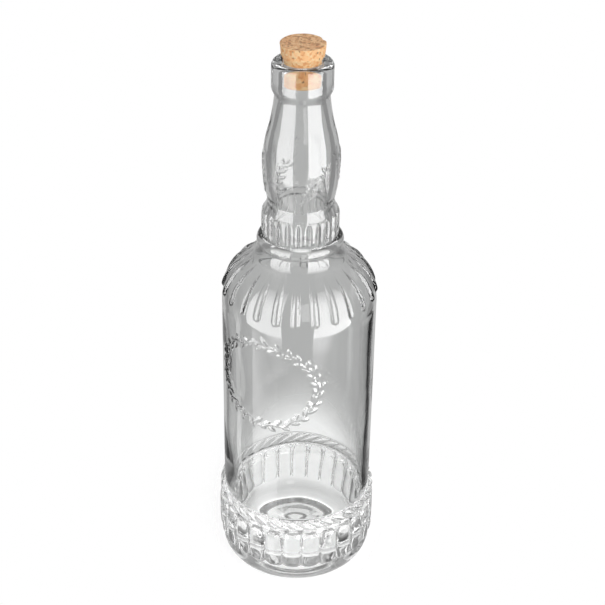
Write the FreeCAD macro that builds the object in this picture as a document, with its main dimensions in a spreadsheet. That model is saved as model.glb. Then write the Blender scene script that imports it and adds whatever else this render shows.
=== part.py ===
"""Clear glass oil bottle with a cork: one turned and patterned glass body, and a stopper in its mouth.

The frame has +Z up the bottle's axis, and its origin is the centre of the base, on the table. The
front of the bottle faces -Y. Lengths are in millimetres, and angles in degrees.
"""

import FreeCAD, Part
import Sketcher
import math
import os

SIZES = {
    # glass walls
    "body_wall": 3.4,
    "neck_wall": 4.1,
    # foot: resting ring, push-up, rounded heel and fluted band
    "rest_width": 2.6,
    "punt_height": 9.0,
    "floor_height": 17.0,
    "floor_edge_height": 14.5,
    "floor_corner": 9.0,
    "floor_wall": 9.2,
    "foot_wall": 6.8,
    "ledge_height": 37.5,
    "ledge_rise": 5.5,
    "ledge_curve": 8.0,
    "heel_radius": 11.8,
    "foot_step": 1.2,
    "foot_crest_step": 3.0,
    "foot_bottom": 15.0,
    "foot_top": 39.5,
    "foot_trim_radius": 38.0,
    "foot_lobe_radius": 9.0,
    "foot_lobe_count": 26,
    # rope ring over the foot
    "rope_height": 45.0,
    "rope_width": 7.0,
    "rope_bulge_radius": 4.4,
    "rope_groove_radius": 1.4,
    "rope_groove_sink": 1.2,
    "rope_groove_length": 14.0,
    "rope_tilt": 52.0,
    "rope_count": 36,
    # straight side and domed shoulder
    "body_radius": 42.0,
    "body_top": 170.0,
    "dome_radius": 31.0,
    "dome_sweep": 50.0,
    "dome_blend_radius": 8.6,
    "dome_blend_rise": 28.4,
    "dome_blend_step": 3.1,
    # long ribs on the shoulder
    "rib_radius": 2.2,
    "rib_proud": 1.0,
    "rib_sink": 1.45,
    "rib_end_step": 0.2,
    "rib_start": 13.0,
    "rib_sweep": 43.0,
    "rib_count": 24,
    # ring and knurled collar at the root of the neck
    "ring_radius": 22.3,
    "ring_rise": 35.2,
    "ring_width": 6.0,
    "ring_bulge_radius": 3.6,
    "collar_core_radius": 19.4,
    "collar_crest_step": 1.35,
    "collar_width": 14.5,
    "collar_trim_radius": 24.0,
    "collar_lobe_radius": 3.2,
    "collar_lobe_count": 24,
    "collar_bore_radius": 15.4,
    # swelling neck
    "waist_radius": 17.4,
    "waist_rise": 5.2,
    "swell_radius": 20.0,
    "swell_rise": 22.0,
    "swell_lower_curve": 95.0,
    "swell_upper_curve": 66.0,
    "throat_radius": 17.2,
    "throat_rise": 19.0,
    "throat_curve": 110.0,
    "under_lip_radius": 14.2,
    "under_lip_rise": 18.0,
    # lip and bore
    "lip_radius": 15.8,
    "lip_slope": 3.4,
    "lip_height": 14.6,
    "lip_round": 2.6,
    "bore_radius": 9.6,
    "bore_round": 1.4,
    "bore_length": 20.0,
    # cork
    "cork_clearance": 0.1,
    "cork_insertion": 11.6,
    "cork_stand": 9.6,
    "cork_flare": 3.2,
    "cork_flare_step": 1.5,
    "cork_top_step": 2.1,
    "cork_edge": 0.5,
}

# Radii and heights that several outlines share, worked out from the sizes in the sheet.
FOOT_CORE = "(size.body_radius + size.foot_step)"
FOOT_CREST = "(size.body_radius + size.foot_crest_step)"
REST_OUTER = f"({FOOT_CORE} - size.heel_radius)"
REST_INNER = f"({REST_OUTER} - size.rest_width)"
ROPE_BOTTOM = "(size.rope_height - size.rope_width / 2)"
ROPE_TOP = "(size.rope_height + size.rope_width / 2)"
INNER_RADIUS = "(size.body_radius - size.body_wall)"
INNER_DOME = "(size.dome_radius - size.body_wall)"
DOME_CENTRE = "(size.body_radius - size.dome_radius)"
DOME_COS = "cos(size.dome_sweep * 1 deg)"
DOME_SIN = "sin(size.dome_sweep * 1 deg)"
BLEND_RADIUS = "(size.ring_radius + size.dome_blend_step)"
BLEND_HEIGHT = "(size.body_top + size.dome_blend_rise)"
RING_BOTTOM = "(size.body_top + size.ring_rise)"
COLLAR_BOTTOM = f"({RING_BOTTOM} + size.ring_width)"
COLLAR_TOP = f"({COLLAR_BOTTOM} + size.collar_width)"
WAIST = f"({COLLAR_TOP} + size.waist_rise)"
SWELL = f"({WAIST} + size.swell_rise)"
THROAT = f"({SWELL} + size.throat_rise)"
UNDER_LIP = f"({THROAT} + size.under_lip_rise)"
LIP_BOTTOM = f"({UNDER_LIP} + size.lip_slope)"
MOUTH = f"({LIP_BOTTOM} + size.lip_height)"
BORE_BOTTOM = f"({MOUTH} - size.bore_length)"

AXIS = "0"
GROUND = "0"
FULL_TURN = 360.0
# turns about -Y, which lifts an outward direction towards the neck
TILT_UP = FreeCAD.Rotation(FreeCAD.Vector(0, -1, 0), 1.0)
# how far a cutting outline reaches past the surface that it cuts
CUT_MARGIN = "8"


def fill_sheet(doc):
    """Spreadsheet with one named cell for each driving size."""
    sheet = doc.addObject("Spreadsheet::Sheet", "size")
    for row, (name, value) in enumerate(SIZES.items(), start=1):
        sheet.set(f"A{row}", name)
        sheet.set(f"B{row}", str(value))
        sheet.setAlias(f"B{row}", name)
    doc.recompute()
    return sheet


def origin_plane(body, role):
    """The body's own origin plane or axis with this role."""
    return next(item for item in body.Origin.OriginFeatures if item.Role == role)


def number(sheet, expression):
    """Present value of an expression on the sheet's sizes, in millimetres."""
    value = sheet.evalExpression(expression)
    return float(getattr(value, "Value", value))


def arc_between(start, end, radius, side):
    """Short arc from start to end, bulging to the left (side 1) or to the right (side -1) of the chord.

    Returns the arc and whether it runs backwards, from end to start.
    """
    chord = end.sub(start)
    half = chord.Length / 2
    middle = start.add(end).multiply(0.5)
    left = FreeCAD.Vector(-chord.y, chord.x, 0).normalize()
    depth = math.sqrt(radius * radius - half * half)
    centre = middle.sub(left.multiply(side * depth))
    first, last = (end, start) if side > 0 else (start, end)
    angle_first = math.atan2(first.y - centre.y, first.x - centre.x)
    angle_last = math.atan2(last.y - centre.y, last.x - centre.x)
    circle = Part.Circle(centre, FreeCAD.Vector(0, 0, 1), radius)
    return Part.ArcOfCircle(circle, angle_first, angle_last), side > 0


def bind(sketch, kind, place, expression, value):
    """Add one dimension to a sketch and tie it to an expression."""
    index = sketch.addConstraint(Sketcher.Constraint(kind, *place, value))
    sketch.setExpression(f"Constraints[{index}]", expression)


def pin_corner(sketch, place, corner, point):
    """Hold a corner of an outline at its two named coordinates."""
    for kind, expression, value, axis in (("DistanceX", corner[0], point.x, -2),
                                          ("DistanceY", corner[1], point.y, -1)):
        if expression == "0":
            sketch.addConstraint(Sketcher.Constraint("PointOnObject", *place, axis))
        else:
            bind(sketch, kind, (-1, 1) + place, expression, value)


def outline(sheet, body, name, steps):
    """Closed outline in the body's XZ plane.

    Each step is a corner (radius, height) and the edge that leaves it: None for a straight edge, or
    (radius, side) for an arc.
    """
    sketch = body.newObject("Sketcher::SketchObject", name)
    sketch.AttachmentSupport = (origin_plane(body, "XZ_Plane"), [""])
    sketch.MapMode = "FlatFace"
    points = [FreeCAD.Vector(number(sheet, step[0]), number(sheet, step[1]), 0) for step in steps]
    heads = []
    tails = []
    for index, step in enumerate(steps):
        start = points[index]
        end = points[(index + 1) % len(points)]
        edge = step[2]
        if edge is None:
            geometry = sketch.addGeometry(Part.LineSegment(start, end), False)
            backwards = False
        else:
            arc, backwards = arc_between(start, end, number(sheet, edge[0]), edge[1])
            geometry = sketch.addGeometry(arc, False)
            bind(sketch, "Radius", (geometry,), edge[0], number(sheet, edge[0]))
        heads.append((geometry, 2 if backwards else 1))
        tails.append((geometry, 1 if backwards else 2))
    for index, step in enumerate(steps):
        sketch.addConstraint(Sketcher.Constraint("Coincident", *tails[index - 1], *heads[index]))
        pin_corner(sketch, heads[index], step, points[index])
    return sketch


def turn(body, kind, name, sketch):
    """Revolution or Groove of an outline, a full turn about the bottle's axis."""
    feature = body.newObject(kind, name)
    feature.Profile = sketch
    feature.ReferenceAxis = (sketch, ["V_Axis"])
    feature.Angle = FULL_TURN
    return feature


def primitive(body, kind, name, role, sizes, offset, rotation=None):
    """PartDesign primitive on one of the body's origin planes, its sizes and offset tied to the sheet."""
    feature = body.newObject(kind, name)
    feature.AttachmentSupport = (origin_plane(body, role), [""])
    feature.MapMode = "FlatFace"
    if rotation:
        axis, angle = rotation
        feature.AttachmentOffset = FreeCAD.Placement(FreeCAD.Vector(), FreeCAD.Rotation(axis, 1.0))
        feature.setExpression("AttachmentOffset.Rotation.Angle", angle)
    for key, expression in sizes.items():
        feature.setExpression(key, expression)
    for key, expression in zip(("x", "y", "z"), offset):
        feature.setExpression(f"AttachmentOffset.Base.{key}", expression)
    return feature


def repeat_round(body, name, originals, count):
    """Polar pattern of features about the bottle's axis."""
    pattern = body.newObject("PartDesign::PolarPattern", name)
    pattern.Originals = originals
    pattern.Axis = (origin_plane(body, "Z_Axis"), [""])
    pattern.Angle = FULL_TURN
    pattern.setExpression("Occurrences", count)
    body.Tip = pattern
    return pattern


def outer_outline(sheet, body):
    """Outside of the glass, from the push-up round the heel and up to the flat of the mouth."""
    punt_curve = f"(({REST_INNER} ^ 2 + size.punt_height ^ 2) / (2 * size.punt_height))"
    return outline(sheet, body, "outside", [
        (AXIS, "size.punt_height", (punt_curve, 1)),
        (REST_INNER, GROUND, None),
        (REST_OUTER, GROUND, ("size.heel_radius", -1)),
        (FOOT_CORE, "size.heel_radius", None),
        (FOOT_CORE, "size.foot_bottom", None),
        ("size.body_radius", ROPE_BOTTOM, ("size.rope_bulge_radius", -1)),
        ("size.body_radius", ROPE_TOP, None),
        ("size.body_radius", "size.body_top", ("size.dome_radius", -1)),
        (f"{DOME_CENTRE} + size.dome_radius * {DOME_COS}",
         f"size.body_top + size.dome_radius * {DOME_SIN}", None),
        (BLEND_RADIUS, BLEND_HEIGHT, ("size.dome_blend_radius", 1)),
        ("size.ring_radius", RING_BOTTOM, ("size.ring_bulge_radius", -1)),
        ("size.collar_core_radius", COLLAR_BOTTOM, None),
        ("size.collar_core_radius", COLLAR_TOP, None),
        ("size.waist_radius", WAIST, ("size.swell_lower_curve", -1)),
        ("size.swell_radius", SWELL, ("size.swell_upper_curve", -1)),
        ("size.throat_radius", THROAT, ("size.throat_curve", 1)),
        ("size.under_lip_radius", UNDER_LIP, None),
        ("size.lip_radius", LIP_BOTTOM, None),
        ("size.lip_radius", f"{MOUTH} - size.lip_round", ("size.lip_round", -1)),
        ("size.lip_radius - size.lip_round", MOUTH, None),
        (AXIS, MOUTH, None),
    ])


def cavity_outline(sheet, body):
    """Inside of the glass, from the raised floor up through the bore and out of the mouth."""
    foot_side = f"({FOOT_CORE} - size.foot_wall)"
    floor_side = f"({FOOT_CORE} - size.floor_wall)"
    floor_radius = f"({floor_side} - size.floor_corner)"
    floor_rise = "(size.floor_height - size.floor_edge_height)"
    floor_curve = f"(({floor_radius} ^ 2 + {floor_rise} ^ 2) / (2 * {floor_rise}))"
    corner_rise = "(size.floor_edge_height + size.floor_corner)"
    blend_in = f"({BLEND_RADIUS} - size.body_wall * {DOME_COS})"
    blend_down = f"({BLEND_HEIGHT} - size.body_wall * {DOME_SIN})"
    blend_curve = "(size.dome_blend_radius + 2 * size.body_wall)"
    return outline(sheet, body, "inside", [
        (AXIS, "size.floor_height", (floor_curve, 1)),
        (floor_radius, "size.floor_edge_height", ("size.floor_corner", -1)),
        (floor_side, corner_rise, None),
        (foot_side, "size.ledge_height", ("size.ledge_curve", -1)),
        (INNER_RADIUS, "size.ledge_height + size.ledge_rise", None),
        (INNER_RADIUS, "size.body_top", (INNER_DOME, -1)),
        (f"{DOME_CENTRE} + {INNER_DOME} * {DOME_COS}",
         f"size.body_top + {INNER_DOME} * {DOME_SIN}", None),
        (blend_in, blend_down, (blend_curve, 1)),
        ("size.collar_bore_radius", f"{RING_BOTTOM} + size.ring_width / 2", None),
        ("size.collar_bore_radius", f"{COLLAR_TOP} - size.waist_rise", None),
        ("size.waist_radius - size.neck_wall", WAIST, ("size.swell_lower_curve", -1)),
        ("size.swell_radius - size.neck_wall", SWELL, ("size.swell_upper_curve", -1)),
        ("size.throat_radius - size.neck_wall", THROAT, None),
        ("size.bore_radius", BORE_BOTTOM, None),
        ("size.bore_radius", f"{MOUTH} - size.bore_round", ("size.bore_round", 1)),
        ("size.bore_radius + size.bore_round", MOUTH, None),
        ("size.bore_radius + size.bore_round", f"{MOUTH} + {CUT_MARGIN}", None),
        (AXIS, f"{MOUTH} + {CUT_MARGIN}", None),
    ])


def trim_outline(sheet, body, name, band):
    """Area outside a band of lobes, whose inner edge rounds the lobes off towards both ends."""
    core, bottom, top, curve, crest = band
    outer = f"{crest} + {CUT_MARGIN}"
    return outline(sheet, body, name, [
        (core, bottom, (curve, -1)),
        (core, top, None),
        (outer, top, None),
        (outer, bottom, None),
    ])


def add_lobes(sheet, body, name, band, lobe_radius, count, phase):
    """Band of upright lobes round the bottle, trimmed to a pillow between its two ends."""
    core, bottom, top, curve, crest = band
    reach = f"({crest} - {lobe_radius})"
    offset = (f"{reach} * sin({phase})", f"-{reach} * cos({phase})", bottom)
    lobe = primitive(body, "PartDesign::AdditiveCylinder", f"{name}_lobe", "XY_Plane",
                     {"Radius": lobe_radius, "Height": f"{top} - {bottom}"}, offset)
    repeat_round(body, f"{name}_lobes", [lobe], count)
    return turn(body, "PartDesign::Groove", f"{name}_trim",
                trim_outline(sheet, body, f"{name}_trim_outline", band))


def rib_path(sheet, body, centre, height, path):
    """Arc up the dome that the middle of a rib follows."""
    turns = ("size.rib_start * 1 deg", "(size.rib_start + size.rib_sweep) * 1 deg")
    ends = [(f"{centre} + {path} * cos({turn_to})", f"{height} + {path} * sin({turn_to})")
            for turn_to in turns]
    points = [FreeCAD.Vector(number(sheet, end[0]), number(sheet, end[1]), 0) for end in ends]
    radius = number(sheet, path)
    sketch = body.newObject("Sketcher::SketchObject", "rib_path")
    sketch.AttachmentSupport = (origin_plane(body, "XZ_Plane"), [""])
    sketch.MapMode = "FlatFace"
    arc, backwards = arc_between(points[0], points[1], radius, -1)
    geometry = sketch.addGeometry(arc, False)
    bind(sketch, "Radius", (geometry,), path, radius)
    pin_corner(sketch, (geometry, 1), ends[0], points[0])
    pin_corner(sketch, (geometry, 2), ends[1], points[1])
    return sketch


def make_ribs(doc, sheet):
    """Long ribs down the dome, round at the foot and sinking into the glass towards the neck."""
    body = doc.addObject("PartDesign::Body", "shoulder_ribs")
    body.AllowCompound = True
    centre = f"({DOME_CENTRE})"
    path = ("(size.dome_radius - size.rib_radius + size.rib_proud"
            " + size.rib_sink * sin(size.rib_start * 1 deg))")
    height = "(size.body_top - size.rib_sink)"
    section = body.newObject("Sketcher::SketchObject", "rib_section")
    section.AttachmentSupport = (origin_plane(body, "XY_Plane"), [""])
    section.MapMode = "FlatFace"
    section.AttachmentOffset = FreeCAD.Placement(FreeCAD.Vector(), TILT_UP)
    section.setExpression("AttachmentOffset.Rotation.Angle", "size.rib_start")
    section.setExpression("AttachmentOffset.Base.x", centre)
    section.setExpression("AttachmentOffset.Base.z", height)
    middle = FreeCAD.Vector(number(sheet, path), 0, 0)
    radius = number(sheet, "size.rib_radius")
    ring = section.addGeometry(Part.Circle(middle, FreeCAD.Vector(0, 0, 1), radius), False)
    section.addConstraint(Sketcher.Constraint("PointOnObject", ring, 3, -1))
    bind(section, "DistanceX", (-1, 1, ring, 3), path, middle.x)
    bind(section, "Radius", (ring,), "size.rib_radius", radius)
    rib = body.newObject("PartDesign::AdditivePipe", "rib")
    rib.Profile = section
    rib.Spine = (rib_path(sheet, body, centre, height, path), ["Edge1"])
    end = primitive(body, "PartDesign::AdditiveSphere", "rib_end", "XZ_Plane",
                    {"Radius": "size.rib_radius + size.rib_end_step"},
                    (f"{centre} + {path} * cos(size.rib_start * 1 deg)",
                     f"{height} + {path} * sin(size.rib_start * 1 deg)", GROUND))
    repeat_round(body, "ribs", [rib, end], "size.rib_count")
    return body


def cut_rope(body):
    """Slanting grooves that part the rope ring into strands."""
    crest = ("(size.body_radius + size.rope_bulge_radius"
             " - sqrt(size.rope_bulge_radius ^ 2 - (size.rope_width / 2) ^ 2))")
    reach = f"({crest} + size.rope_groove_radius - size.rope_groove_sink)"
    half = "size.rope_groove_length / 2"
    groove = primitive(body, "PartDesign::SubtractiveCylinder", "rope_groove", "XY_Plane",
                       {"Radius": "size.rope_groove_radius", "Height": "size.rope_groove_length"},
                       (reach, f"{half} * sin(size.rope_tilt * 1 deg)",
                        f"size.rope_height - {half} * cos(size.rope_tilt * 1 deg)"),
                       (FreeCAD.Vector(1, 0, 0), "size.rope_tilt"))
    return repeat_round(body, "rope_grooves", [groove], "size.rope_count")


def make_form(doc, sheet):
    """Solid outer form of the bottle, with the relief of its foot, rope ring and collar."""
    body = doc.addObject("PartDesign::Body", "form")
    turn(body, "PartDesign::Revolution", "form_turned", outer_outline(sheet, body))
    foot = (FOOT_CORE, "size.foot_bottom", "size.foot_top", "size.foot_trim_radius", FOOT_CREST)
    collar = ("size.collar_core_radius", COLLAR_BOTTOM, COLLAR_TOP, "size.collar_trim_radius",
              "(size.collar_core_radius + size.collar_crest_step)")
    add_lobes(sheet, body, "foot", foot, "size.foot_lobe_radius", "size.foot_lobe_count", "0 deg")
    add_lobes(sheet, body, "collar", collar, "size.collar_lobe_radius", "size.collar_lobe_count",
              "180 deg / size.collar_lobe_count")
    cut_rope(body)
    return body


def make_hollow(doc, sheet):
    """Space inside the glass, with the bore."""
    body = doc.addObject("PartDesign::Body", "hollow")
    body.Tip = turn(body, "PartDesign::Revolution", "hollow_turned", cavity_outline(sheet, body))
    return body


def make_bottle(doc, sheet):
    """The glass: outer form and ribs together, less the hollow."""
    outside = doc.addObject("Part::Fuse", "ribbed_form")
    outside.Base = make_form(doc, sheet)
    outside.Tool = make_ribs(doc, sheet)
    glass = doc.addObject("Part::Cut", "bottle")
    glass.Label = "bottle"
    glass.Base = outside
    glass.Tool = make_hollow(doc, sheet)
    return glass


def make_cork(doc, sheet):
    """Stopper held in the bore, flaring where it stands out of the mouth."""
    body = doc.addObject("PartDesign::Body", "cork")
    body.Label = "cork"
    plug = "(size.bore_radius - size.cork_clearance)"
    bottom = f"({MOUTH} - size.cork_insertion)"
    top = f"({MOUTH} + size.cork_stand)"
    sketch = outline(sheet, body, "cork_outline", [
        (AXIS, bottom, None),
        (f"{plug} - size.cork_edge", bottom, None),
        (plug, f"{bottom} + size.cork_edge", None),
        (plug, MOUTH, None),
        ("size.bore_radius + size.cork_flare_step", f"{MOUTH} + size.cork_flare", None),
        ("size.bore_radius + size.cork_top_step", f"{top} - size.cork_edge", None),
        ("size.bore_radius + size.cork_top_step - size.cork_edge", top, None),
        (AXIS, top, None),
    ])
    body.Tip = turn(body, "PartDesign::Revolution", "cork_form", sketch)
    return body


def check(doc, parts):
    """Stop before anything is written if an object failed or a shape isn't one valid solid."""
    for item in doc.Objects:
        if {"Invalid", "Error"} & set(item.State):
            raise RuntimeError(f"{item.Name}: {item.State}")
    for item in parts:
        if item.Shape.isNull() or not item.Shape.isValid() or len(item.Shape.Solids) != 1:
            raise RuntimeError(f"{item.Label} isn't one valid solid")
        print(item.Label, "volume", round(item.Shape.Volume), "box", item.Shape.BoundBox)


def main():
    doc = FreeCAD.newDocument("oil_bottle")
    sheet = fill_sheet(doc)
    parts = [make_bottle(doc, sheet), make_cork(doc, sheet)]
    doc.recompute()
    check(doc, parts)
    os.makedirs("parts", exist_ok=True)
    for item in parts:
        item.Shape.exportStep(os.path.join("parts", item.Label + ".step"))


main()
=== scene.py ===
"""Looks of the oil bottle: a closed wall of clear pressed glass with its relief, and a cork of grains."""

import math

import bpy
import numpy as np
from mathutils import Matrix, Vector


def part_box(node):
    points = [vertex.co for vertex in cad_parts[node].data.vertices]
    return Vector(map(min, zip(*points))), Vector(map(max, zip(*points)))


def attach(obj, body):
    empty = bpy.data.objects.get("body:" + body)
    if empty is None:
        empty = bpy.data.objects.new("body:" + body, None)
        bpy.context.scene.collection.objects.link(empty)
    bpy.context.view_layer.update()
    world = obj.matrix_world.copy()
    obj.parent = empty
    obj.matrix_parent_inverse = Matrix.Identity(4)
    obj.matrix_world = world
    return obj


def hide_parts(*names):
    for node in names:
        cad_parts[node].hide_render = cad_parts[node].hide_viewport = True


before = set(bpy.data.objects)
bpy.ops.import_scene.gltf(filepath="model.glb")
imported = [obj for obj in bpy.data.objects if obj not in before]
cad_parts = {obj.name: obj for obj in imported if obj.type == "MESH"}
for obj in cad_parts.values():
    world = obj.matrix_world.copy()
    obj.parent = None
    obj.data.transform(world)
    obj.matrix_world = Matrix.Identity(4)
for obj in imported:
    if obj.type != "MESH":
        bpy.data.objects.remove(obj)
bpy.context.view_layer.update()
RNG = np.random.default_rng(7)
TURN = 2 * math.pi

# ---- the bottle, in millimetres; the same outline as the CAD solid

BODY_RADIUS = 42.0
BODY_TOP = 170.0
BODY_WALL = 3.4
BORE_RADIUS = 9.6
BORE_TOP = 306.5
MOUTH = 307.9
# metres in one of these millimetres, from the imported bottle
MM = (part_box("bottle")[1][2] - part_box("bottle")[0][2]) / MOUTH

FOOT_CORE = 43.2
FOOT_CREST = 44.92
FOOT_BOTTOM = 15.0
FOOT_TOP = 39.5
FOOT_COUNT = 26
# how blunt a flute is across and along, and its share of the room that it has
FOOT_ROUNDNESS = (2.6, 7.0)
FOOT_WIDTH = 0.97

ROPE_HEIGHT = 45.0
ROPE_HALF = 3.3
ROPE_PROUD = 2.6
ROPE_COUNT = 36
ROPE_LEAN = 52.0
# half the height of the band of fine rows that carries the rope and its grooves
ROPE_REACH = 4.6
# how round a strand is, and the share of its height that stays between two strands
ROPE_ROUND = 0.98
ROPE_BETWEEN = 0.06
# depths of the grooves below and above the rope, and their place and width in half heights of the rope
ROPE_GROOVE = (0.9, 0.35)
ROPE_GROOVE_PLACE = 1.12
ROPE_GROOVE_WIDTH = 0.14

DOME_RADIUS = 31.0
RING_HOLLOW = 205.0
RIB_COUNT = 24
RIB_HALF_WIDTH = 2.1
RIB_PROUD = 1.35
# lengths along the dome: a rib's foot, where it starts to sink, and where it is gone
RIB_LOW = 6.2
RIB_FADE = 20.0
RIB_HIGH = 34.5
# a rib narrows from its full width at one radius to a share of it at another, but never below the least
RIB_FULL_RADIUS = 38.0
RIB_SLIM_RADIUS = 24.0
RIB_SLIM = 0.3
RIB_LEAST = 0.35

COLLAR_CORE = 19.4
COLLAR_CREST = 20.75
COLLAR_BOTTOM = 211.2
COLLAR_TOP = 225.7
COLLAR_LOBE = 2.75
COLLAR_FULLNESS = 4.0
COLLAR_COUNT = 24
COLLAR_PHASE = 0.5
COLLAR_SOFT = 0.1
COLLAR_MARGIN = 0.01

# how far the columns of the mesh draw together at the flutes' edges and on the ribs, and where that
# starts and is full: on the foot by height and radius, on the dome by height from below and from above
COLUMNS = 624
FOOT_CROWDING = 0.62
FOOT_CROWD_HEIGHT = (FOOT_TOP + 2, FOOT_TOP - 2)
FOOT_CROWD_RADIUS = (36.0, 40.0)
RIB_CROWDING = 0.6
RIB_CROWD_BELOW = (168.0, 172.0)
RIB_CROWD_ABOVE = (201.0, 197.0)


def arc_points(start, end, radius, side, count):
    """Points of a short arc without its start; side 1 bulges to the left of the chord, -1 to the right."""
    start = np.array(start, float)
    end = np.array(end, float)
    chord = end - start
    half = np.linalg.norm(chord) / 2
    left = np.array([-chord[1], chord[0]]) / (2 * half)
    centre = (start + end) / 2 - left * side * math.sqrt(radius * radius - half * half)
    a = math.atan2(*(start - centre)[::-1])
    b = math.atan2(*(end - centre)[::-1])
    turn = (b - a + math.pi) % TURN - math.pi
    angles = a + turn * np.linspace(0, 1, count + 1)[1:]
    return [tuple(centre + radius * np.array([math.cos(t), math.sin(t)])) for t in angles]


def trace(steps):
    """Polyline of an outline: each step is (radius, height, edge, rows), edge None or (radius, side)."""
    points = [steps[0][:2]]
    for here, there in zip(steps, steps[1:]):
        edge, count = here[2], here[3]
        if edge is None:
            for t in np.linspace(0, 1, count + 1)[1:]:
                points.append(tuple(np.array(here[:2]) * (1 - t) + np.array(there[:2]) * t))
        else:
            points.extend(arc_points(here[:2], there[:2], edge[0], edge[1], count))
    return np.array(points)


# from the middle of the push-up, over the resting ring and the lip, to the top of the bore
OUTSIDE = trace([
    (0.0, 9.0, None, 0),
    (0.6, 9.0, None, 4),
    (7.6, 8.5, None, 2),
    (8.4, 8.5, None, 2),
    (9.0, 7.9, None, 5),
    (20.0, 5.2, None, 2),
    (20.8, 5.2, None, 2),
    (21.6, 4.2, None, 4),
    (28.2, 0.5, (1.2, 1), 3),
    (29.0, 0.0, None, 3),
    (31.0, 0.0, None, 1),
    (31.4, 0.03, (11.8, -1), 16),
    (FOOT_CORE, 11.8, None, 3),
    (FOOT_CORE, 14.6, None, 2),
    (FOOT_CORE, FOOT_BOTTOM, None, 11),
    (43.09, 17.5, None, 24),
    (42.20, 37.0, None, 10),
    (42.09, FOOT_TOP, None, 3),
    (BODY_RADIUS, ROPE_HEIGHT - ROPE_REACH, None, 46),
    (BODY_RADIUS, ROPE_HEIGHT + ROPE_REACH, None, 3),
    (BODY_RADIUS, 56.0, None, 5),
    (BODY_RADIUS, 107.0, None, 122),
    (BODY_RADIUS, 166.0, None, 3),
    (BODY_RADIUS, BODY_TOP, (DOME_RADIUS, -1), 54),
    (30.93, 193.75, None, 9),
    (25.4, 198.4, (8.6, 1), 12),
    (22.3, 205.2, (3.6, -1), 16),
    (COLLAR_CORE, COLLAR_BOTTOM, None, 30),
    (COLLAR_CORE, COLLAR_TOP, None, 6),
    (17.4, 230.9, (95.0, -1), 44),
    (20.0, 252.9, (66.0, -1), 38),
    (17.2, 271.9, (110.0, 1), 10),
    (14.2, 289.9, None, 2),
    (14.5, 290.5, None, 4),
    (15.5, 292.7, None, 2),
    (15.8, 293.8, None, 8),
    (15.8, 305.3, (2.6, -1), 8),
    (13.2, MOUTH, None, 2),
    (11.0, MOUTH, (1.4, -1), 5),
    (BORE_RADIUS, BORE_TOP, None, 0),
])

# from the top of the bore down to the middle of the floor
INSIDE = trace([
    (BORE_RADIUS, BORE_TOP, None, 6),
    (BORE_RADIUS, 287.9, None, 8),
    (13.1, 271.9, (66.0, 1), 10),
    (15.9, 252.9, (95.0, 1), 12),
    (13.3, 230.9, None, 6),
    (15.4, 220.5, None, 6),
    (15.4, 208.2, (15.4, -1), 10),
    (23.21, 195.8, None, 4),
    (28.74, 191.14, (27.6, 1), 16),
    (BODY_RADIUS - BODY_WALL, BODY_TOP, None, 20),
    (BODY_RADIUS - BODY_WALL, 43.0, (8.0, 1), 8),
    (36.4, 37.5, None, 12),
    (34.0, 23.5, (9.0, 1), 14),
    (25.0, 14.5, (126.25, -1), 8),
    (0.6, 17.0, None, 1),
    (0.0, 17.0, None, 0),
])


def columns(count):
    """Even angles round the axis."""
    return TURN * np.arange(count) / count


def around(reach, turn, height):
    """Point at this distance from the axis and this heading, which is 0 towards the front."""
    return (reach * math.sin(turn), -reach * math.cos(turn), height)


def wrapped(angle, count, phase=0.0):
    """Angle from the middle of the nearest of count equal parts."""
    part = TURN / count
    return (angle - phase * part + part / 2) % part - part / 2


def apart(angle, degrees):
    """Angle from this heading, from half a turn back to half a turn on."""
    return (angle - math.radians(degrees) + math.pi) % TURN - math.pi


def rising(value, start, full):
    """0 to 1 while a value goes from start to full, which may be the lesser."""
    return np.clip((value - start) / (full - start), 0, 1)


def ease(x):
    """Smooth step from 0 to 1."""
    x = np.clip(x, 0, 1)
    return x * x * (3 - 2 * x)


def soft_min(a, b, width):
    """The lesser of two, rounded where they meet."""
    return 0.5 * (a + b - np.sqrt((a - b) ** 2 + width * width))


def lobe_radius(angle, count, lobe, crest, phase=0.0):
    """Distance from the axis to a ring of upright round lobes."""
    off = wrapped(angle, count, phase)
    reach = crest - lobe
    return reach * np.cos(off) + np.sqrt(np.maximum(lobe * lobe - (reach * np.sin(off)) ** 2, 0.0))


def pillow_rise(height, bottom, top, proud, fullness):
    """Height of a pillow along its length, with round ends; a greater fullness makes the ends blunter."""
    across = (height - (top + bottom) / 2) / ((top - bottom) / 2)
    return proud * np.sqrt(np.maximum(1 - np.abs(across) ** fullness, 0.0))


def crowded(angle, profile):
    """Angles of every row, drawn together at the edges of the flutes and on the ribs."""
    radius, height = profile[:, :1], profile[:, 1:]
    foot = FOOT_CROWDING * rising(height, *FOOT_CROWD_HEIGHT) * rising(radius, *FOOT_CROWD_RADIUS)
    ribs = RIB_CROWDING * rising(height, *RIB_CROWD_BELOW) * rising(height, *RIB_CROWD_ABOVE)
    row = angle[None, :]
    return (row + foot / FOOT_COUNT * np.sin(FOOT_COUNT * row)
            - ribs / RIB_COUNT * np.sin(RIB_COUNT * row))


def foot_relief(angle, height, radius):
    """Flutes round the foot: cushions with steep edges, above the core."""
    across = np.abs(wrapped(angle, FOOT_COUNT)) * FOOT_COUNT / math.pi / FOOT_WIDTH
    along = np.abs(height - (FOOT_TOP + FOOT_BOTTOM) / 2) * 2 / (FOOT_TOP - FOOT_BOTTOM)
    fall = 1 - across ** FOOT_ROUNDNESS[0] - along ** FOOT_ROUNDNESS[1]
    cushion = FOOT_CORE + (FOOT_CREST - FOOT_CORE) * np.sqrt(np.maximum(fall, 0.0)) - radius
    return np.where(along < 1, np.maximum(cushion, 0.0), 0.0)


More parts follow.
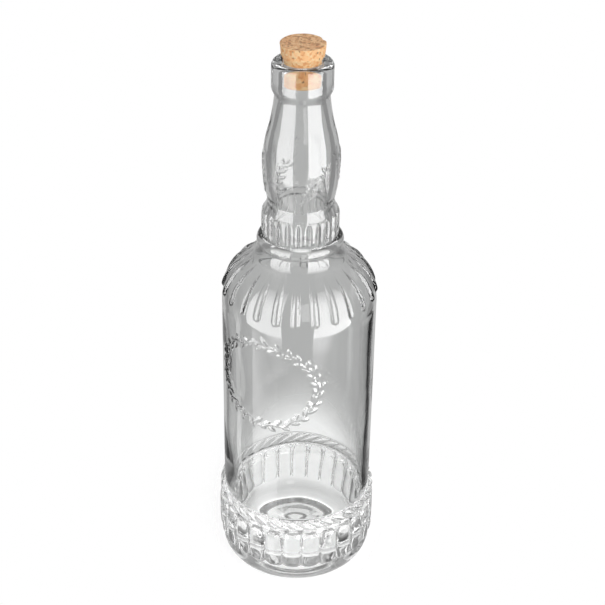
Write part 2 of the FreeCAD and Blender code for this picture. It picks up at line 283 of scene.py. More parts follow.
def rope_relief(angle, height):
    """Twisted strands above the foot, between two grooves."""
    across = (height - ROPE_HEIGHT) / ROPE_HALF
    swell = np.sqrt(np.maximum(1 - across * across, 0.0))
    lean = (height - ROPE_HEIGHT) * math.tan(math.radians(ROPE_LEAN)) / BODY_RADIUS
    off = wrapped(angle + lean, ROPE_COUNT) * ROPE_COUNT / math.pi
    strand = np.sqrt(np.maximum(1 - ROPE_ROUND * off * off, 0.0))
    share = ROPE_BETWEEN + (1 - ROPE_BETWEEN) * strand
    beads = np.where(np.abs(across) < 1, ROPE_PROUD * swell * share, 0.0)
    depth = np.where(across < 0, ROPE_GROOVE[0], ROPE_GROOVE[1])
    return beads - depth * np.exp(-((np.abs(across) - ROPE_GROOVE_PLACE) / ROPE_GROOVE_WIDTH) ** 2)


def rib_relief(angle, radius, along):
    """Ribs that fall from the ring and end in a round foot on the shoulder."""
    off = np.abs(wrapped(angle, RIB_COUNT)) * radius
    grown = (radius - RIB_SLIM_RADIUS) / (RIB_FULL_RADIUS - RIB_SLIM_RADIUS)
    half = RIB_HALF_WIDTH * np.clip(RIB_SLIM + (1 - RIB_SLIM) * grown, RIB_LEAST, 1.0)
    below = np.maximum(RIB_LOW + half - along, 0.0)
    reach = np.sqrt(off * off + below * below) / half
    section = np.sqrt(np.maximum(1 - reach * reach, 0.0))
    fade = 1 - ease((along - RIB_FADE) / (RIB_HIGH - RIB_FADE))
    return RIB_PROUD * fade * section


def collar_relief(angle, height):
    """Upright knurls on the collar."""
    lobes = lobe_radius(angle, COLLAR_COUNT, COLLAR_LOBE, COLLAR_CREST, COLLAR_PHASE)
    proud = COLLAR_CREST - COLLAR_CORE
    trim = COLLAR_CORE + pillow_rise(height, COLLAR_BOTTOM, COLLAR_TOP, proud, COLLAR_FULLNESS)
    knurl = soft_min(lobes, trim, COLLAR_SOFT) - COLLAR_CORE
    inside = (height > COLLAR_BOTTOM - COLLAR_MARGIN) & (height < COLLAR_TOP + COLLAR_MARGIN)
    return np.where(inside, np.maximum(knurl, 0.0), 0.0)


# ---- leaves: the vein's depth as a share of the leaf's height, how narrow it is, and how far a
# stem stands proud as a share of its leaves

VEIN_DEPTH = 0.45
VEIN_NARROWNESS = 9
STEM_SHARE = 0.8

WREATH_ANGLE = -25.5
WREATH_HEIGHT = 137.0
WREATH_ACROSS = 31.2
WREATH_UP = 25.2
WREATH_PROUD = 0.78
WREATH_STEM = 1.0
WREATH_STEM_RUNS = 240
WREATH_WAVES = 15
WREATH_WAVE = 0.9
WREATH_LEAVES = 62
WREATH_UNEVEN = 0.2
WREATH_LEAN = (0.45, 0.85)
WREATH_LENGTH = (4.6, 6.6)
WREATH_WIDTH = (2.0, 2.7)
WREATH_BAND = (108.0, 166.5)

NECK_RADIUS = 19.5
# foot of each sprig (angle in degrees, height), its lean from level and its length
SPRIGS = [
    (-78.0, 236.5, 1.25, 22.0),
    (-34.0, 237.0, 1.75, 26.0),
    (2.0, 236.5, 0.75, 17.0),
    (50.0, 237.5, 2.1, 20.0),
    (98.0, 236.5, 1.35, 24.0),
    (146.0, 237.0, 1.8, 24.0),
    (194.0, 236.5, 1.2, 22.0),
    (242.0, 237.0, 1.7, 24.0),
]
SPRIG_PROUD = 0.6
SPRIG_STEM = 0.8
SPRIG_RUNS = 12
SPRIG_BEND = 0.9
SPRIG_LEAN = (0.5, 0.8)
SPRIG_LENGTH = (4.2, 6.0)
SPRIG_WIDTH = 1.5
SPRIG_BAND = (231.5, 272.0)


def leaf(across, up, place, length, width, lean, proud):
    """Raised leaf, pointed at both ends, with a vein, on the unrolled surface."""
    x = across - place[0]
    y = up - place[1]
    c, s = math.cos(lean), math.sin(lean)
    u = (x * c + y * s) / length
    v = (-x * s + y * c) / width
    inside = np.clip(1 - u, 0, 1) * np.clip(u, 0, 1) * 4
    edge = np.clip(1 - np.abs(v) * 2 / np.maximum(inside, 1e-6), 0, 1)
    vein = 1 - VEIN_DEPTH * np.exp(-(v * VEIN_NARROWNESS) ** 2)
    return proud * np.sqrt(edge) * vein * (inside > 0)


def stem(across, up, points, width, proud):
    """Raised round thread through points on the unrolled surface."""
    best = np.full(across.shape, 1e9)
    for a, b in zip(points, points[1:]):
        dx, dy = b[0] - a[0], b[1] - a[1]
        t = np.clip(((across - a[0]) * dx + (up - a[1]) * dy) / (dx * dx + dy * dy), 0, 1)
        best = np.minimum(best, (across - a[0] - t * dx) ** 2 + (up - a[1] - t * dy) ** 2)
    return proud * np.sqrt(np.maximum(1 - best / (width / 2) ** 2, 0.0))


def wreath_relief(angle, height):
    """Ring of leaves on a wavy stem, bare inside."""
    across = apart(angle, WREATH_ANGLE) * BODY_RADIUS
    up = height - WREATH_HEIGHT
    line = []
    for k in range(WREATH_STEM_RUNS + 1):
        t = TURN * k / WREATH_STEM_RUNS
        wave = WREATH_WAVE * math.sin(t * WREATH_WAVES)
        line.append(((WREATH_ACROSS + wave) * math.cos(t), (WREATH_UP + wave) * math.sin(t)))
    rise = stem(across, up, line, WREATH_STEM, WREATH_PROUD * STEM_SHARE)
    for k in range(WREATH_LEAVES):
        t = TURN * (k + RNG.uniform(-WREATH_UNEVEN, WREATH_UNEVEN)) / WREATH_LEAVES
        place = (WREATH_ACROSS * math.cos(t), WREATH_UP * math.sin(t))
        heading = math.atan2(WREATH_UP * math.cos(t), -WREATH_ACROSS * math.sin(t))
        side = 1 if k % 2 else -1
        lean = heading + side * RNG.uniform(*WREATH_LEAN)
        length = RNG.uniform(*WREATH_LENGTH)
        width = RNG.uniform(*WREATH_WIDTH)
        rise = np.maximum(rise, leaf(across, up, place, length, width, lean, WREATH_PROUD))
    return rise


def sprig_relief(angle, height):
    """Bent sprigs with narrow leaves on the swelling of the neck."""
    rise = np.zeros(angle.shape)
    for foot_angle, foot_height, lean, length in SPRIGS:
        across = apart(angle, foot_angle) * NECK_RADIUS
        bend = SPRIG_BEND if lean < math.pi / 2 else -SPRIG_BEND
        points = [(0.0, foot_height)]
        heading = lean
        for _ in range(SPRIG_RUNS):
            x, y = points[-1]
            ahead = (math.cos(heading) * length / SPRIG_RUNS, math.sin(heading) * length / SPRIG_RUNS)
            points.append((x + ahead[0], y + ahead[1]))
            heading += bend / SPRIG_RUNS
        rise = np.maximum(rise, stem(across, height, points, SPRIG_STEM, SPRIG_PROUD * STEM_SHARE))
        for k in range(2, SPRIG_RUNS, 2):
            for side in (1, -1):
                turn = lean + bend * k / SPRIG_RUNS + side * RNG.uniform(*SPRIG_LEAN)
                size = RNG.uniform(*SPRIG_LENGTH)
                blade = leaf(across, height, points[k], size, SPRIG_WIDTH, turn, SPRIG_PROUD)
                rise = np.maximum(rise, blade)
    return rise


# inside this radius the underside has no relief
PLAIN_RADIUS = 12


def dome_run(profile):
    """Length along the outside from the foot of the dome, 0 below it and above the ring's hollow."""
    step = np.r_[0, np.linalg.norm(np.diff(profile, axis=0), axis=1)]
    run = np.cumsum(step)
    start = run[np.argmin(np.abs(profile[:, 1] - BODY_TOP) + np.abs(profile[:, 0] - BODY_RADIUS))]
    along = run - start
    return np.where((along > 0) & (profile[:, 1] < RING_HOLLOW), along, 0.0)


def relief(angle, profile):
    """Height of all the ornament above the plain outline, for every row of angles."""
    radius = np.broadcast_to(profile[:, :1], angle.shape)
    height = np.broadcast_to(profile[:, 1:], angle.shape)
    along = np.broadcast_to(dome_run(profile)[:, None], angle.shape)
    outer = radius > PLAIN_RADIUS
    rise = foot_relief(angle, height, radius) * outer
    rise += rope_relief(angle, height) * outer
    rise += rib_relief(angle, radius, along) * (along > 0)
    rise += collar_relief(angle, height)
    for (low, high), ornament in ((WREATH_BAND, wreath_relief), (SPRIG_BAND, sprig_relief)):
        rows = np.where((profile[:, 1] > low) & (profile[:, 1] < high))[0]
        rise[rows] += ornament(angle[rows], height[rows])
    return rise


# slow waves of the inside: how many round the bottle, how they turn with height, and their size
WAVES = ((2, 0.021, 0.10), (3, 0.034, 0.08), (5, 0.05, 0.05), (7, 0.027, 0.03))
WAVE_PHASE = 6.28
# the waves grow out to a radius, lose a share in the neck, and stop in the bore
WAVE_RADIUS = 25.0
WAVE_NECK = (210.0, 225.0)
WAVE_NECK_LOSS = 0.4
WAVE_BORE = (284.0, 290.0)


def waviness(angle, profile):
    """Slow unevenness of the inside of pressed glass."""
    height = profile[:, 1:]
    rise = np.zeros(angle.shape)
    for count, rate, size in WAVES:
        rise += size * np.sin(count * angle + height * rate * math.pi + RNG.uniform(0, WAVE_PHASE))
    near_axis = np.clip(profile[:, :1] / WAVE_RADIUS, 0, 1)
    in_neck = rising(height, *WAVE_NECK)
    in_bore = rising(height, *WAVE_BORE)
    return rise * near_axis * (1 - WAVE_NECK_LOSS * in_neck) * (1 - in_bore)


def slopes(profile):
    """Outward normals of a profile that runs with the glass on its left."""
    ahead = np.gradient(profile, axis=0)
    ahead /= np.maximum(np.linalg.norm(ahead, axis=1), 1e-9)[:, None]
    return np.stack([ahead[:, 1], -ahead[:, 0]], axis=1)


def ringed(angle, profile, lift):
    """Rings of points round the axis, each lifted from the profile along its normal."""
    normal = slopes(profile)
    radius = profile[:, :1] + normal[:, :1] * lift
    height = profile[:, 1:] + normal[:, 1:] * lift
    return np.stack([radius * np.sin(angle), -radius * np.cos(angle), height], axis=-1)


def placed(name, data):
    """New object in the scene."""
    thing = bpy.data.objects.new(name, data)
    bpy.context.scene.collection.objects.link(thing)
    return thing


def turned(name, rings):
    """Closed mesh of rings of points in millimetres, with one point in the middle of each end."""
    rows, count = rings.shape[:2]
    index = np.arange(rows * count).reshape(rows, count)
    after = np.roll(index, -1, axis=1)
    quads = np.stack([index[:-1], after[:-1], after[1:], index[1:]], axis=-1).reshape(-1, 4)
    faces = quads.tolist()
    first = rows * count
    last = first + 1
    faces += [[first, int(after[0, k]), int(index[0, k])] for k in range(count)]
    faces += [[last, int(index[-1, k]), int(after[-1, k])] for k in range(count)]
    verts = np.vstack([rings.reshape(-1, 3), rings[0].mean(axis=0), rings[-1].mean(axis=0)])
    mesh = bpy.data.meshes.new(name)
    mesh.from_pydata((verts * MM).tolist(), [], faces)
    mesh.validate()
    mesh.polygons.foreach_set("use_smooth", np.ones(len(mesh.polygons), bool))
    mesh.update()
    return placed(name, mesh)


def make_glass():
    """The bottle's wall: outside with relief, over the mouth, and down the inside."""
    angle = columns(COLUMNS)
    outside = OUTSIDE[1:]
    inside = INSIDE[1:-1]
    outer_angle = crowded(angle, outside)
    inner_angle = np.repeat(angle[None, :], len(inside), axis=0)
    outer = ringed(outer_angle, outside, relief(outer_angle, outside))
    inner = ringed(inner_angle, inside, waviness(inner_angle, inside))
    piece = turned("glass_bottle", np.vstack([outer, inner]))
    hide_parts("bottle")
    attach(piece, "root")
    return piece


# ---- the cork, in the same millimetres

CORK_COLUMNS = 240
CORK_BOTTOM = 296.4
CORK_TOP = 317.45
# rows of the mesh on the lower and the upper flat face
CORK_BOTTOM_ROWS = 14
CORK_TOP_ROWS = 34
# how far the cork is worn all over, and its waves: how many round it, turn with height, and size
CORK_WEAR = 0.06
CORK_WAVES = ((3, 0.4, 0.05), (7, -0.9, 0.03))
# pits on the side and on the upper face: how many, their sizes and their depth
SIDE_PITS = 90
SIDE_PIT_SIZE = (0.25, 0.7)
SIDE_PIT_DEPTH = 0.22
SIDE_PIT_LOW = 296.5
FACE_PITS = 60
FACE_PIT_SIZE = (0.25, 0.6)
FACE_PIT_DEPTH = 0.15
FACE_PIT_REACH = 10.6
# the chip in the upper rim: heading in degrees, distance from the axis, size, depth and flatness
CHIP_ANGLE = 118.0
CHIP_REACH = 11.6
CHIP_SIZE = 1.6
CHIP_DEPTH = 0.9
CHIP_FLAT = 1.2


def dent(points, centre, size, depth, flat=1.0):
    """Depth of a round hollow at each point; a greater flat makes it lower than it is wide."""
    x, y, z = points
    away = (x - centre[0]) ** 2 + (y - centre[1]) ** 2 + ((z - centre[2]) * flat) ** 2
    return depth * np.exp(-away / size ** 2)


def cork_hollows(angle, profile):
    """Depth of wear, waves, pits and the chip, inward from the plain cork."""
    x = profile[:, :1] * np.sin(angle)
    y = -profile[:, :1] * np.cos(angle)
    z = np.broadcast_to(profile[:, 1:], x.shape)
    points = (x, y, z)
    side = profile[CORK_BOTTOM_ROWS:-CORK_TOP_ROWS]
    depth = np.full(x.shape, CORK_WEAR)
    for count, rate, size in CORK_WAVES:
        depth += size * np.sin(count * angle + rate * z)
    for _ in range(SIDE_PITS):
        turn = RNG.uniform(0, TURN)
        height = RNG.uniform(SIDE_PIT_LOW, CORK_TOP)
        reach = np.interp(height, side[:, 1], side[:, 0])
        size = RNG.uniform(*SIDE_PIT_SIZE)
        depth += dent(points, around(reach, turn, height), size, SIDE_PIT_DEPTH)
    for _ in range(FACE_PITS):
        reach = FACE_PIT_REACH * math.sqrt(RNG.uniform(0, 1))
        turn = RNG.uniform(0, TURN)
        size = RNG.uniform(*FACE_PIT_SIZE)
        depth += dent(points, around(reach, turn, CORK_TOP), size, FACE_PIT_DEPTH)
    chip = around(CHIP_REACH, math.radians(CHIP_ANGLE), CORK_TOP)
    return depth + dent(points, chip, CHIP_SIZE, CHIP_DEPTH, CHIP_FLAT)


def make_cork():
    """Tapered cork with a chipped rim and small pits."""
    profile = trace([
        (0.0, CORK_BOTTOM, None, 0),
        (0.4, CORK_BOTTOM, None, CORK_BOTTOM_ROWS),
        (9.1, CORK_BOTTOM, (0.4, -1), 3),
        (9.48, 296.8, None, 40),
        (9.48, 308.0, None, 12),
        (11.08, 311.1, None, 22),
        (11.66, 317.0, (0.5, -1), 4),
        (11.2, CORK_TOP, None, CORK_TOP_ROWS),
        (0.4, CORK_TOP, None, 0),
    ])[1:]
    angle = columns(CORK_COLUMNS)
    piece = turned("cork_stopper", ringed(angle, profile, -cork_hollows(angle, profile)))
    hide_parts("cork")
    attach(piece, "root")
    return piece


# ---- node helpers


def new_material(name):
    """Empty node material with an output."""
    material = bpy.data.materials.new(name)
    material.use_nodes = True
    nodes = material.node_tree.nodes
    nodes.clear()
    return material, nodes, material.node_tree.links, nodes.new("ShaderNodeOutputMaterial")


def ramp(nodes, links, value, stops):
    """Colour of a socket's value on a ramp with these (position, colour) stops."""
    node = nodes.new("ShaderNodeValToRGB")
    band = node.color_ramp
    while len(band.elements) < len(stops):
        band.elements.new(0.5)
    for element, (position, colour) in zip(band.elements, stops):
        element.position = position
        element.color = (*colour, 1)
    links.new(value, node.inputs["Fac"])
    return node.outputs["Color"]


def texture(nodes, links, place, kind, scale, **inputs):
    """Procedural texture on the object's own coordinates."""
    node = nodes.new(kind)
    node.inputs["Scale"].default_value = scale
    for key, value in inputs.items():
        node.inputs[key].default_value = value
    links.new(place.outputs["Object"], node.inputs["Vector"])
    return node


def mixed(nodes, links, factor, first, second):
    """Colour mix of two sockets or colours."""
    node = nodes.new("ShaderNodeMix")
    node.data_type = "RGBA"
    for socket, value in (("Factor", factor), ("A", first), ("B", second)):
        if isinstance(value, bpy.types.NodeSocket):
            links.new(value, node.inputs[socket])
        elif socket == "Factor":
            node.inputs[socket].default_value = value
        else:
            node.inputs[socket].default_value = (*value, 1)
    return node.outputs["Result"]


def stepped(nodes, links, value, low, high, bottom=0.0, top=1.0, kind="LINEAR"):
    """Bottom to top while a socket's value goes from low to high."""
    node = nodes.new("ShaderNodeMapRange")
    node.interpolation_type = kind
    node.inputs["From Min"].default_value = low
    node.inputs["From Max"].default_value = high
    node.inputs["To Min"].default_value = bottom
    node.inputs["To Max"].default_value = top
    links.new(value, node.inputs["Value"])
    return node.outputs["Result"]


def combined(nodes, links, operation, first, second):
    """Number made of two sockets, such as their product."""
    node = nodes.new("ShaderNodeMath")
    node.operation = operation
    links.new(first, node.inputs[0])
    links.new(second, node.inputs[1])
    return node.outputs[0]


def vector_math(nodes, links, operation, vector, constant=None):
    """Result of a vector operation on a socket, and on a constant where it takes two."""
    node = nodes.new("ShaderNodeVectorMath")
    node.operation = operation
    links.new(vector, node.inputs[0])
    if constant is not None:
        node.inputs[1].default_value = constant
    return node.outputs["Value" if operation == "LENGTH" else "Vector"]


def split(nodes, links, vector):
    """X, Y and Z of a vector socket."""
    node = nodes.new("ShaderNodeSeparateXYZ")
    links.new(vector, node.inputs["Vector"])
    return node.outputs


def bumped(nodes, links, height, strength, distance):
    """Normal of a surface with this relief."""
    node = nodes.new("ShaderNodeBump")
    node.inputs["Strength"].default_value = strength
    node.inputs["Distance"].default_value = distance
    links.new(height, node.inputs["Height"])
    return node.outputs["Normal"]


def shared(nodes, links, factor, first, second):
    """First shader where the factor is 0, second where it is 1."""
    node = nodes.new("ShaderNodeMixShader")
    links.new(factor, node.inputs["Fac"])
    links.new(first, node.inputs[1])
    links.new(second, node.inputs[2])
    return node.outputs[0]


def seen_rays(nodes, links, path):
    """1 for camera, glossy and transmission rays."""
    socket = path.outputs["Is Camera Ray"]
    for name in ("Is Glossy Ray", "Is Transmission Ray"):
        socket = combined(nodes, links, "MAXIMUM", socket, path.outputs[name])
    return socket


def by_distance(nodes, links, point, stops, reach):
    """Value at a point's distance from the origin, from (distance, value) stops within this reach."""
    distance = vector_math(nodes, links, "LENGTH", point)
    share = stepped(nodes, links, distance, 0.0, reach)
    return ramp(nodes, links, share, [(at / reach, (value,) * 3) for at, value in stops])


# ---- materials of the pieces; texture scales are per metre

GLASS_COLOUR = (0.955, 0.96, 0.957, 1.0)
GLASS_IOR = 1.5
GLASS_RIPPLE = 55.0
# strength, and distance in metres
GLASS_BUMP = (0.15, 0.0006)

CORK_GRAIN_SCALE = 700.0
CORK_FINE_SCALE = 1400.0
CORK_PATCH_SCALE = 300.0
CORK_PIT_SCALE = 620.0
# tones of the grains, dark to light, each with the value of the grain texture that it stands at
CORK_SIDE = ((0.2, (0.76, 0.30, 0.10)), (0.42, (0.98, 0.54, 0.24)), (0.75, (0.99, 0.70, 0.39)))
# the flat face's tones are darker than the side's: painted shade on the top of the cork
CORK_TOP_TONES_WITH_PAINTED_SHADE = ((0.2, (0.44, 0.20, 0.09)), (0.45, (0.82, 0.44, 0.21)), (0.75, (0.97, 0.66, 0.36)))
# how far the surface faces up where the side's tones end and the flat face's darker tones, which are painted
# shade, are full
CORK_PAINTED_SHADE_FACING = (0.5, 0.85)
CORK_FLECK = (0.62, 0.16, 0.06)
CORK_FLECK_SHARE = 0.45
CORK_FLECK_EDGE = (0.60, 0.70)
CORK_PIT = (0.12, 0.05, 0.025)
CORK_PIT_EDGE = (0.67, 0.73)
CORK_ROUGHNESS = 0.85
CORK_SPECULAR = 0.2
CORK_BUMP = (0.5, 0.0004)


def glass_material():
    """Clear glass with a faint ripple."""
    material, nodes, links, output = new_material("clear_glass")
    shader = nodes.new("ShaderNodeBsdfPrincipled")
    shader.inputs["Base Color"].default_value = GLASS_COLOUR
    shader.inputs["Roughness"].default_value = 0.0
    shader.inputs["IOR"].default_value = GLASS_IOR
    shader.inputs["Transmission Weight"].default_value = 1.0
    place = nodes.new("ShaderNodeTexCoord")
    ripple = texture(nodes, links, place, "ShaderNodeTexNoise", GLASS_RIPPLE, Detail=1.0)
    links.new(bumped(nodes, links, ripple.outputs["Fac"], *GLASS_BUMP), shader.inputs["Normal"])
    links.new(shader.outputs["BSDF"], output.inputs["Surface"])
    return material


def cork_material():
    """Grains of cork of several tones, with reddish flecks and dark pits; the upper face is painted darker
    and browner, as painted shade.
    """
    material, nodes, links, output = new_material("agglomerated_cork")
    shader = nodes.new("ShaderNodeBsdfPrincipled")
    shader.inputs["Roughness"].default_value = CORK_ROUGHNESS
    shader.inputs["Specular IOR Level"].default_value = CORK_SPECULAR
    place = nodes.new("ShaderNodeTexCoord")
    grain = texture(nodes, links, place, "ShaderNodeTexVoronoi", CORK_GRAIN_SCALE)
    fine = texture(nodes, links, place, "ShaderNodeTexNoise", CORK_FINE_SCALE, Detail=4.0)
    patch = texture(nodes, links, place, "ShaderNodeTexNoise", CORK_PATCH_SCALE, Detail=3.0)
    hollow = texture(nodes, links, place, "ShaderNodeTexNoise", CORK_PIT_SCALE, Detail=2.0)
    cell = nodes.new("ShaderNodeSeparateColor")
    links.new(grain.outputs["Color"], cell.inputs["Color"])
    tone = mixed(nodes, links, 0.5, cell.outputs["Red"], fine.outputs["Fac"])
    side = ramp(nodes, links, tone, CORK_SIDE)
    face = ramp(nodes, links, tone, CORK_TOP_TONES_WITH_PAINTED_SHADE)
    facing = nodes.new("ShaderNodeNewGeometry")
    up = split(nodes, links, facing.outputs["Normal"])["Z"]
    # surfaces that face up take the darker tones: painted shade on the cork's top
    colour = mixed(nodes, links, stepped(nodes, links, up, *CORK_PAINTED_SHADE_FACING), side, face)
    flecks = stepped(nodes, links, patch.outputs["Fac"], *CORK_FLECK_EDGE)
    reddened = mixed(nodes, links, CORK_FLECK_SHARE, colour, CORK_FLECK)
    colour = mixed(nodes, links, flecks, colour, reddened)
    pits = stepped(nodes, links, hollow.outputs["Fac"], *CORK_PIT_EDGE)
    colour = mixed(nodes, links, pits, colour, CORK_PIT)
    links.new(colour, shader.inputs["Base Color"])
    links.new(bumped(nodes, links, tone, *CORK_BUMP), shader.inputs["Normal"])
    links.new(shader.outputs["BSDF"], output.inputs["Surface"])
    return material


# ---- the studio, in metres

AMBIENT = 0.62
WHITE = (1, 1, 1, 1)

DISC_SIDES = 64
TABLE_COLOUR = (0.8, 0.8, 0.8, 1)
TABLE_LIFT = 0.55
TABLE_RADIUS = 0.19
TABLE_FADE = (0.075, 0.165)
TABLE_OVAL = (2.5, 1.2, 1.0)
TABLE_MIDDLE = (0.0, 0.045, 0.0)
# lift of the table as glass and gloss see it, by distance from the bottle's axis: painted light under the
# middle of the bottle and a painted shadow round the edge of its foot
FOOT_PAINTED_SHADE = ((0.0, 0.72), (0.024, 0.72), (0.034, 0.67), (0.047, 0.34), (0.056, 0.60))
FOOT_PAINTED_SHADE_REACH = 0.1

# cover of the dark ring, which is painted shadow: a dark sheet on the table standing for the bottle's soft
# shadow, by distance from the bottle's axis
PAINTED_SHADOW_RING = ((0.0, 0.0), (0.054, 0.0), (0.068, 0.95), (0.092, 0.95), (0.14, 0.0))
PAINTED_SHADOW_RING_REACH = 0.15
PAINTED_SHADOW_RING_HEIGHT = 0.0004
PAINTED_SHADOW_RING_LEVEL = 0.05

# cards that only glass and gloss see: both ends (azimuth from the camera, distance), heights,
# level in reflections, level through the glass
CARDS = [
    ("softbox_left", (-24.0, 1.0), (-78.0, 1.5), (-0.52, 1.6), 8.2, 1.05),
    ("softbox_right", (21.0, 1.0), (78.0, 1.5), (-0.52, 1.6), 10.4, 1.05),
    ("flag_right", (104.0, 0.3), (142.0, 0.3), (-0.3, 0.0), 0.05, 0.05),
    ("low_left", (-30.0, 1.0), (-72.0, 1.5), (-1.05, -0.50), 2.5, 0.6),
    ("strip_left", (-97.0, 1.2), (-107.0, 1.2), (-0.85, -0.10), 1.3, 1.3),
    ("back_card", (145.0, 1.6), (215.0, 1.6), (-1.6, 1.2), 0.51, 0.51),
    ("top_card", (135.0, 1.5), (225.0, 1.5), (1.05, 2.6), 7.0, 0.5),
]
# shares of a card's height between which its lower edge brightens, and where its top starts to dim
# towards a share of its level
CARD_SOFT = (0.0, 0.07)
DIM_START = 0.45
CARD_DIM_TOP = 0.25
TENT_HIGH = 0.30
TENT_LOW = 0.26
TENT_SOFT = (0.45, 0.52)
TENT_RADIUS = 3.0
TENT_SEGMENTS = 48
TENT_RINGS = 24

LAMP_POWER = 7.0
LAMP_SIZE = 0.8
LAMP_PLACE = Vector((0.50, -1.0, 0.62))
LAMP_AIM = Vector((0, 0, 0.2))

# the camera: its place in the bottle's millimetres, its angles in degrees and its lens
CAMERA_PLACE = (31.81, -688.03, 590.75)
CAMERA_TURN = 2.5
CAMERA_DOWN = 31.612
CAMERA_ROLL = 0.93787
CAMERA_LENS = 88.22
CAMERA_SENSOR = 36.0
CAMERA_NEAR = 0.01

LIGHT_BOUNCES = 24
GLOSSY_BOUNCES = 10


def make_world():
    """White where the camera, a reflection or glass sees it, and plain light on everything else."""
    world = bpy.data.worlds.new("studio")
    bpy.context.scene.world = world
    world.use_nodes = True
    nodes, links = world.node_tree.nodes, world.node_tree.links
    nodes.clear()
    output = nodes.new("ShaderNodeOutputWorld")
    path = nodes.new("ShaderNodeLightPath")
    plain = nodes.new("ShaderNodeBackground")
    plain.inputs["Strength"].default_value = AMBIENT
    white = nodes.new("ShaderNodeBackground")
    white.inputs["Strength"].default_value = 1.0
    white.inputs["Color"].default_value = WHITE
    sky = shared(nodes, links, seen_rays(nodes, links, path), plain.outputs[0], white.outputs[0])
    links.new(sky, output.inputs["Surface"])


def make_disc(name, radius, middle, material):
    """Round flat face."""
    rim = [(radius * math.cos(t), radius * math.sin(t), 0) for t in columns(DISC_SIDES)]
    mesh = bpy.data.meshes.new(name)
    mesh.from_pydata(rim, [], [tuple(range(DISC_SIDES))])
    mesh.materials.append(material)
    disc = placed(name, mesh)
    disc.location = middle
    return disc


def table_material():
    """White that keeps shadows, fades out in an oval, and carries painted light under the bottle and a
    painted shadow round its foot as glass sees it.
    """
    material, nodes, links, output = new_material("white_table")
    matt = nodes.new("ShaderNodeBsdfDiffuse")
    matt.inputs["Color"].default_value = TABLE_COLOUR
    path = nodes.new("ShaderNodeLightPath")
    place = nodes.new("ShaderNodeTexCoord").outputs["Object"]
    from_axis = vector_math(nodes, links, "ADD", place, TABLE_MIDDLE)
    # painted light and shade near the foot, only for glossy and transmission rays
    painted_shade = by_distance(nodes, links, from_axis, FOOT_PAINTED_SHADE, FOOT_PAINTED_SHADE_REACH)
    through = combined(nodes, links, "MULTIPLY", seen_rays(nodes, links, path), painted_shade)
    lift = nodes.new("ShaderNodeMix")
    lift.inputs["B"].default_value = TABLE_LIFT
    links.new(path.outputs["Is Camera Ray"], lift.inputs["Factor"])
    links.new(through, lift.inputs["A"])
    glow = nodes.new("ShaderNodeEmission")
    links.new(lift.outputs["Result"], glow.inputs["Strength"])
    both = nodes.new("ShaderNodeAddShader")
    links.new(matt.outputs[0], both.inputs[0])
    links.new(glow.outputs[0], both.inputs[1])
    oval = vector_math(nodes, links, "MULTIPLY", place, TABLE_OVAL)
    reach = vector_math(nodes, links, "LENGTH", oval)
    fade = stepped(nodes, links, reach, *TABLE_FADE, kind="SMOOTHSTEP")
    clear = nodes.new("ShaderNodeBsdfTransparent")
    edge = shared(nodes, links, fade, both.outputs[0], clear.outputs[0])
    links.new(edge, output.inputs["Surface"])
    return material


def make_table():
    """White round table top with the object's shadow, the painted light and shade that glass sees near the
    foot, and a soft edge.
    """
    make_disc("table", TABLE_RADIUS, TABLE_MIDDLE, table_material())


def make_painted_shadow_ring():
    """Painted shadow: a dark ring on the table, strongest at the two sides of the foot, that only glass and
    gloss see.
    """
    material, nodes, links, output = new_material("painted_shadow_ring")
    dark = nodes.new("ShaderNodeEmission")
    dark.inputs["Strength"].default_value = PAINTED_SHADOW_RING_LEVEL
    clear = nodes.new("ShaderNodeBsdfTransparent")
    place = nodes.new("ShaderNodeTexCoord").outputs["Object"]
    # painted shadow of the bottle on the table, seen only through the glass and in its gloss
    cover = by_distance(nodes, links, place, PAINTED_SHADOW_RING, PAINTED_SHADOW_RING_REACH)
    heading = vector_math(nodes, links, "NORMALIZE", place)
    sideways = split(nodes, links, heading)["X"]
    square = combined(nodes, links, "MULTIPLY", sideways, sideways)
    factor = combined(nodes, links, "MULTIPLY", square, cover)
    both = shared(nodes, links, factor, clear.outputs[0], dark.outputs[0])
    links.new(both, output.inputs["Surface"])
    return make_disc("painted_shadow_ring", PAINTED_SHADOW_RING_REACH, (0, 0, PAINTED_SHADOW_RING_HEIGHT), material)


def glow_material(name, level, below, soft, dim_top=1.0):
    """Bright surface: another level below, and dimmer towards its top, where it keeps this share."""
    material, nodes, links, output = new_material(name)
    place = nodes.new("ShaderNodeTexCoord")
    up = split(nodes, links, place.outputs["Generated"])["Z"]
    foot = stepped(nodes, links, up, *soft, below, level, kind="SMOOTHSTEP")
    top = stepped(nodes, links, up, DIM_START, 1.0, 1.0, dim_top, kind="SMOOTHSTEP")
    glow = nodes.new("ShaderNodeEmission")
    links.new(combined(nodes, links, "MULTIPLY", foot, top), glow.inputs["Strength"])
    links.new(glow.outputs[0], output.inputs["Surface"])
    return material


def card_point(azimuth, distance, height):
    """Point at this azimuth from the camera, distance from the axis and height."""
    return around(distance, math.radians(azimuth + CAMERA_TURN), height)


def make_card(name, near, far, heights, level):
    """Upright bright card between two points round the bottle."""
    low, high = heights
    corners = [card_point(*near, low), card_point(*far, low), card_point(*far, high), card_point(*near, high)]
    mesh = bpy.data.meshes.new(name)
    mesh.from_pydata(corners, [], [(0, 1, 2, 3)])
    mesh.materials.append(glow_material(name, level, TENT_LOW, CARD_SOFT, CARD_DIM_TOP))
    return placed(name, mesh)


def make_tent():
    """Grey ball round the whole set."""
    bpy.ops.mesh.primitive_uv_sphere_add(radius=TENT_RADIUS, segments=TENT_SEGMENTS, ring_count=TENT_RINGS)
    tent = bpy.context.active_object
    tent.name = "tent"
    tent.data.materials.append(glow_material("grey_tent", TENT_HIGH, TENT_LOW, TENT_SOFT))
    return tent


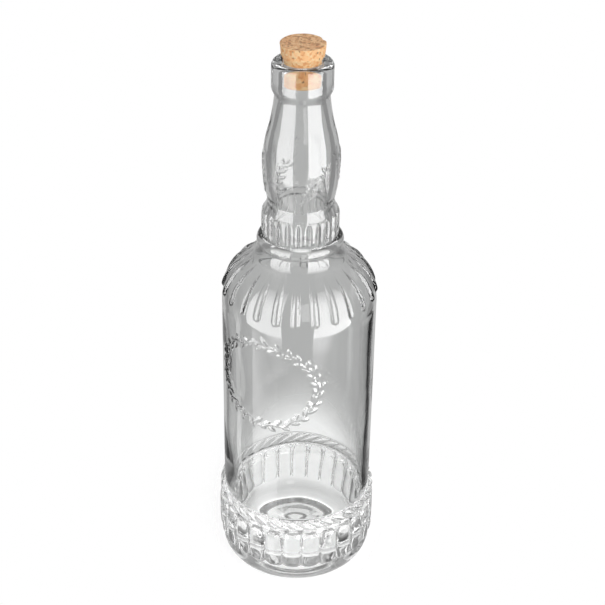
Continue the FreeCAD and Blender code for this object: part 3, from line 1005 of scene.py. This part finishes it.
def make_set():
    """Cards, tent and the ring of painted shadow, which the camera doesn't see and which light no plain
    surface.
    """
    made = []
    for name, near, far, heights, reflected, through in CARDS:
        mirror = make_card(name + "_reflected", near, far, heights, reflected)
        mirror.visible_transmission = False
        window = make_card(name + "_through", near, far, heights, through)
        window.visible_glossy = False
        made += [mirror, window]
    made += [make_tent(), make_painted_shadow_ring()]
    for thing in made:
        thing.visible_camera = False
        thing.visible_diffuse = False
        thing.visible_shadow = False
        thing.visible_volume_scatter = False


def make_lamp():
    """One large soft lamp above and in front."""
    data = bpy.data.lights.new("key", "AREA")
    data.shape = "SQUARE"
    data.size = LAMP_SIZE
    data.energy = LAMP_POWER
    lamp = placed("key", data)
    lamp.location = LAMP_PLACE
    lamp.rotation_euler = (LAMP_AIM - LAMP_PLACE).to_track_quat("-Z", "Y").to_euler()
    lamp.visible_glossy = False


def make_camera():
    """The photograph's view."""
    turn, down, roll = (math.radians(v) for v in (CAMERA_TURN, CAMERA_DOWN, CAMERA_ROLL))
    ahead = Vector((-math.sin(turn) * math.cos(down), math.cos(turn) * math.cos(down), -math.sin(down)))
    level = Vector((math.cos(turn), math.sin(turn), 0))
    lifted = level.cross(ahead)
    right = level * math.cos(roll) + lifted * math.sin(roll)
    up = lifted * math.cos(roll) - level * math.sin(roll)
    data = bpy.data.cameras.new("camera")
    data.lens = CAMERA_LENS
    data.sensor_width = CAMERA_SENSOR
    data.clip_start = CAMERA_NEAR
    camera = placed("camera", data)
    matrix = Matrix((right, up, -ahead)).transposed().to_4x4()
    matrix.translation = Vector(CAMERA_PLACE) * MM
    camera.matrix_world = matrix
    bpy.context.scene.camera = camera


def set_render():
    """Plain colours, and enough bounces for the glass."""
    scene = bpy.context.scene
    scene.view_settings.view_transform = "Standard"
    scene.cycles.max_bounces = LIGHT_BOUNCES
    scene.cycles.transmission_bounces = LIGHT_BOUNCES
    scene.cycles.glossy_bounces = GLOSSY_BOUNCES


def main():
    """The two pieces, then the studio round them."""
    make_glass().data.materials.append(glass_material())
    make_cork().data.materials.append(cork_material())
    make_world()
    make_table()
    make_set()
    make_lamp()
    make_camera()
    set_render()


main()
